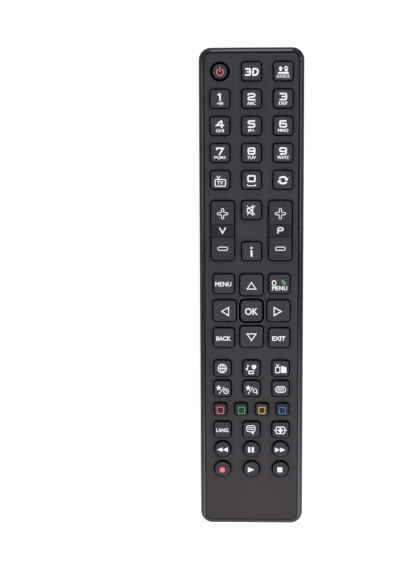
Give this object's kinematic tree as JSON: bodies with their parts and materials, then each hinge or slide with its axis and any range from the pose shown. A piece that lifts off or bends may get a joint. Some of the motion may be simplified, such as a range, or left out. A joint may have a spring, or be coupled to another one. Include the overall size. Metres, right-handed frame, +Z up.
{
  "type": "television remote control",
  "caption": "Slim handheld infrared remote control with a brushed face, sprung keys, two rocker keys and a sliding battery cover.",
  "frame": {"origin": "centre of the footprint, at the lowest level of the back", "axes": "+Y along the handset towards the emitter end, +Z up through the keys, +X across to the right as the user sees the keys"},
  "size_m": [0.0474, 0.22, 0.0215],
  "materials": {
    "black_plastic": "satin black moulding",
    "brushed_face": "fine lengthwise hairline",
    "key_grey": "fine matte",
    "key_red": "fine matte, tinted",
    "key_green": "fine matte, tinted",
    "key_yellow": "fine matte, tinted",
    "key_blue": "fine matte, tinted",
    "tinted_window": "polished dark tint",
    "silicone": "soft matte",
    "laminate": "solder mask",
    "component_black": "moulded",
    "lamp_resin": "clear tinted resin",
    "cell_sleeve": "printed metal sleeve, plain",
    "contact_metal": "nickel plate",
    "spring_steel": "nickel plated wire",
    "screw_steel": "blackened"
  },
  "bodies": {
    "case": {"front_housing": "black_plastic", "face_plate": "brushed_face", "rear_shell": "black_plastic", "infrared_window": "tinted_window", "keypad_membrane": "silicone", "circuit_board": "laminate", "board_components": "component_black", "infrared_led": "lamp_resin", "battery_cells": "cell_sleeve", "contact_plates": "contact_metal", "contact_springs": "spring_steel", "case_screws": "screw_steel"},
    "cover": {"battery_cover": "black_plastic"},
    "volume_rocker": {"volume_rocker": "key_grey"},
    "programme_rocker": {"programme_rocker": "key_grey"},
    "power": {"power": "key_grey"},
    "ok": {"ok": "key_grey"},
    "digit_5": {"digit_5": "key_grey"},
    "up": {"up": "key_grey"},
    "red": {"red": "key_red"},
    "play": {"play": "key_grey"},
    "mute": {"mute": "key_grey"},
    "menu": {"menu": "key_grey"},
    "language": {"language": "key_grey"},
    "source": {"source": "key_grey"},
    "three_d": {"three_d": "key_grey"},
    "digit_1": {"digit_1": "key_grey"},
    "digit_2": {"digit_2": "key_grey"},
    "digit_3": {"digit_3": "key_grey"},
    "digit_4": {"digit_4": "key_grey"},
    "digit_6": {"digit_6": "key_grey"},
    "digit_7": {"digit_7": "key_grey"},
    "digit_8": {"digit_8": "key_grey"},
    "digit_9": {"digit_9": "key_grey"},
    "television": {"television": "key_grey"},
    "digit_0": {"digit_0": "key_grey"},
    "swap": {"swap": "key_grey"},
    "info": {"info": "key_grey"},
    "down": {"down": "key_grey"},
    "left": {"left": "key_grey"},
    "right": {"right": "key_grey"},
    "tools": {"tools": "key_grey"},
    "back": {"back": "key_grey"},
    "exit": {"exit": "key_grey"},
    "network": {"network": "key_grey"},
    "media": {"media": "key_grey"},
    "recordings": {"recordings": "key_grey"},
    "timer": {"timer": "key_grey"},
    "search": {"search": "key_grey"},
    "teletext": {"teletext": "key_grey"},
    "subtitles": {"subtitles": "key_grey"},
    "picture_size": {"picture_size": "key_grey"},
    "green": {"green": "key_green"},
    "yellow": {"yellow": "key_yellow"},
    "blue": {"blue": "key_blue"},
    "rewind": {"rewind": "key_grey"},
    "pause": {"pause": "key_grey"},
    "forward": {"forward": "key_grey"},
    "record": {"record": "key_grey"},
    "stop": {"stop": "key_grey"}
  },
  "joints": [
    {"name": "cover_slide", "type": "slide", "parent": "case", "child": "cover", "axis": [0, -1, 0], "range_m": [0, 0.076]},
    {"name": "volume_rocker_tilt", "type": "hinge", "parent": "case", "child": "volume_rocker", "pos_m": [-0.01305, 0.02797, 0.01653], "axis": [1, 0, 0], "range_deg": [-2.5, 2.5], "stiffness_Nm_per_rad": 0.1},
    {"name": "programme_rocker_tilt", "type": "hinge", "parent": "case", "child": "programme_rocker", "pos_m": [0.01305, 0.02797, 0.01653], "axis": [1, 0, 0], "range_deg": [-2.5, 2.5], "stiffness_Nm_per_rad": 0.1},
    {"name": "power_press", "type": "slide", "parent": "case", "child": "power", "axis": [0, 0, -1], "range_m": [0, 0.0008], "stiffness_N_per_m": 400, "springref_m": -0.0004},
    {"name": "ok_press", "type": "slide", "parent": "case", "child": "ok", "axis": [0, 0, -1], "range_m": [0, 0.0008], "stiffness_N_per_m": 400, "springref_m": -0.0004},
    {"name": "digit_5_press", "type": "slide", "parent": "case", "child": "digit_5", "axis": [0, 0, -1], "range_m": [0, 0.0008], "stiffness_N_per_m": 400, "springref_m": -0.0004},
    {"name": "up_press", "type": "slide", "parent": "case", "child": "up", "axis": [0, 0, -1], "range_m": [0, 0.0008], "stiffness_N_per_m": 400, "springref_m": -0.0004},
    {"name": "red_press", "type": "slide", "parent": "case", "child": "red", "axis": [0, 0, -1], "range_m": [0, 0.0008], "stiffness_N_per_m": 400, "springref_m": -0.0004},
    {"name": "play_press", "type": "slide", "parent": "case", "child": "play", "axis": [0, 0, -1], "range_m": [0, 0.0008], "stiffness_N_per_m": 400, "springref_m": -0.0004},
    {"name": "mute_press", "type": "slide", "parent": "case", "child": "mute", "axis": [0, 0, -1], "range_m": [0, 0.0008], "stiffness_N_per_m": 400, "springref_m": -0.0004},
    {"name": "menu_press", "type": "slide", "parent": "case", "child": "menu", "axis": [0, 0, -1], "range_m": [0, 0.0008], "stiffness_N_per_m": 400, "springref_m": -0.0004},
    {"name": "language_press", "type": "slide", "parent": "case", "child": "language", "axis": [0, 0, -1], "range_m": [0, 0.0008], "stiffness_N_per_m": 400, "springref_m": -0.0004},
    {"name": "source_press", "type": "slide", "parent": "case", "child": "source", "axis": [0, 0, -1], "range_m": [0, 0.0008], "stiffness_N_per_m": 400, "springref_m": -0.0004},
    {"name": "three_d_press", "type": "slide", "parent": "case", "child": "three_d", "axis": [0, 0, -1], "range_m": [0, 0.0008], "stiffness_N_per_m": 400, "springref_m": -0.0004},
    {"name": "digit_1_press", "type": "slide", "parent": "case", "child": "digit_1", "axis": [0, 0, -1], "range_m": [0, 0.0008], "stiffness_N_per_m": 400, "springref_m": -0.0004},
    {"name": "digit_2_press", "type": "slide", "parent": "case", "child": "digit_2", "axis": [0, 0, -1], "range_m": [0, 0.0008], "stiffness_N_per_m": 400, "springref_m": -0.0004},
    {"name": "digit_3_press", "type": "slide", "parent": "case", "child": "digit_3", "axis": [0, 0, -1], "range_m": [0, 0.0008], "stiffness_N_per_m": 400, "springref_m": -0.0004},
    {"name": "digit_4_press", "type": "slide", "parent": "case", "child": "digit_4", "axis": [0, 0, -1], "range_m": [0, 0.0008], "stiffness_N_per_m": 400, "springref_m": -0.0004},
    {"name": "digit_6_press", "type": "slide", "parent": "case", "child": "digit_6", "axis": [0, 0, -1], "range_m": [0, 0.0008], "stiffness_N_per_m": 400, "springref_m": -0.0004},
    {"name": "digit_7_press", "type": "slide", "parent": "case", "child": "digit_7", "axis": [0, 0, -1], "range_m": [0, 0.0008], "stiffness_N_per_m": 400, "springref_m": -0.0004},
    {"name": "digit_8_press", "type": "slide", "parent": "case", "child": "digit_8", "axis": [0, 0, -1], "range_m": [0, 0.0008], "stiffness_N_per_m": 400, "springref_m": -0.0004},
    {"name": "digit_9_press", "type": "slide", "parent": "case", "child": "digit_9", "axis": [0, 0, -1], "range_m": [0, 0.0008], "stiffness_N_per_m": 400, "springref_m": -0.0004},
    {"name": "television_press", "type": "slide", "parent": "case", "child": "television", "axis": [0, 0, -1], "range_m": [0, 0.0008], "stiffness_N_per_m": 400, "springref_m": -0.0004},
    {"name": "digit_0_press", "type": "slide", "parent": "case", "child": "digit_0", "axis": [0, 0, -1], "range_m": [0, 0.0008], "stiffness_N_per_m": 400, "springref_m": -0.0004},
    {"name": "swap_press", "type": "slide", "parent": "case", "child": "swap", "axis": [0, 0, -1], "range_m": [0, 0.0008], "stiffness_N_per_m": 400, "springref_m": -0.0004},
    {"name": "info_press", "type": "slide", "parent": "case", "child": "info", "axis": [0, 0, -1], "range_m": [0, 0.0008], "stiffness_N_per_m": 400, "springref_m": -0.0004},
    {"name": "down_press", "type": "slide", "parent": "case", "child": "down", "axis": [0, 0, -1], "range_m": [0, 0.0008], "stiffness_N_per_m": 400, "springref_m": -0.0004},
    {"name": "left_press", "type": "slide", "parent": "case", "child": "left", "axis": [0, 0, -1], "range_m": [0, 0.0008], "stiffness_N_per_m": 400, "springref_m": -0.0004},
    {"name": "right_press", "type": "slide", "parent": "case", "child": "right", "axis": [0, 0, -1], "range_m": [0, 0.0008], "stiffness_N_per_m": 400, "springref_m": -0.0004},
    {"name": "tools_press", "type": "slide", "parent": "case", "child": "tools", "axis": [0, 0, -1], "range_m": [0, 0.0008], "stiffness_N_per_m": 400, "springref_m": -0.0004},
    {"name": "back_press", "type": "slide", "parent": "case", "child": "back", "axis": [0, 0, -1], "range_m": [0, 0.0008], "stiffness_N_per_m": 400, "springref_m": -0.0004},
    {"name": "exit_press", "type": "slide", "parent": "case", "child": "exit", "axis": [0, 0, -1], "range_m": [0, 0.0008], "stiffness_N_per_m": 400, "springref_m": -0.0004},
    {"name": "network_press", "type": "slide", "parent": "case", "child": "network", "axis": [0, 0, -1], "range_m": [0, 0.0008], "stiffness_N_per_m": 400, "springref_m": -0.0004},
    {"name": "media_press", "type": "slide", "parent": "case", "child": "media", "axis": [0, 0, -1], "range_m": [0, 0.0008], "stiffness_N_per_m": 400, "springref_m": -0.0004},
    {"name": "recordings_press", "type": "slide", "parent": "case", "child": "recordings", "axis": [0, 0, -1], "range_m": [0, 0.0008], "stiffness_N_per_m": 400, "springref_m": -0.0004},
    {"name": "timer_press", "type": "slide", "parent": "case", "child": "timer", "axis": [0, 0, -1], "range_m": [0, 0.0008], "stiffness_N_per_m": 400, "springref_m": -0.0004},
    {"name": "search_press", "type": "slide", "parent": "case", "child": "search", "axis": [0, 0, -1], "range_m": [0, 0.0008], "stiffness_N_per_m": 400, "springref_m": -0.0004},
    {"name": "teletext_press", "type": "slide", "parent": "case", "child": "teletext", "axis": [0, 0, -1], "range_m": [0, 0.0008], "stiffness_N_per_m": 400, "springref_m": -0.0004},
    {"name": "subtitles_press", "type": "slide", "parent": "case", "child": "subtitles", "axis": [0, 0, -1], "range_m": [0, 0.0008], "stiffness_N_per_m": 400, "springref_m": -0.0004},
    {"name": "picture_size_press", "type": "slide", "parent": "case", "child": "picture_size", "axis": [0, 0, -1], "range_m": [0, 0.0008], "stiffness_N_per_m": 400, "springref_m": -0.0004},
    {"name": "green_press", "type": "slide", "parent": "case", "child": "green", "axis": [0, 0, -1], "range_m": [0, 0.0008], "stiffness_N_per_m": 400, "springref_m": -0.0004},
    {"name": "yellow_press", "type": "slide", "parent": "case", "child": "yellow", "axis": [0, 0, -1], "range_m": [0, 0.0008], "stiffness_N_per_m": 400, "springref_m": -0.0004},
    {"name": "blue_press", "type": "slide", "parent": "case", "child": "blue", "axis": [0, 0, -1], "range_m": [0, 0.0008], "stiffness_N_per_m": 400, "springref_m": -0.0004},
    {"name": "rewind_press", "type": "slide", "parent": "case", "child": "rewind", "axis": [0, 0, -1], "range_m": [0, 0.0008], "stiffness_N_per_m": 400, "springref_m": -0.0004},
    {"name": "pause_press", "type": "slide", "parent": "case", "child": "pause", "axis": [0, 0, -1], "range_m": [0, 0.0008], "stiffness_N_per_m": 400, "springref_m": -0.0004},
    {"name": "forward_press", "type": "slide", "parent": "case", "child": "forward", "axis": [0, 0, -1], "range_m": [0, 0.0008], "stiffness_N_per_m": 400, "springref_m": -0.0004},
    {"name": "record_press", "type": "slide", "parent": "case", "child": "record", "axis": [0, 0, -1], "range_m": [0, 0.0008], "stiffness_N_per_m": 400, "springref_m": -0.0004},
    {"name": "stop_press", "type": "slide", "parent": "case", "child": "stop", "axis": [0, 0, -1], "range_m": [0, 0.0008], "stiffness_N_per_m": 400, "springref_m": -0.0004}
  ]
}
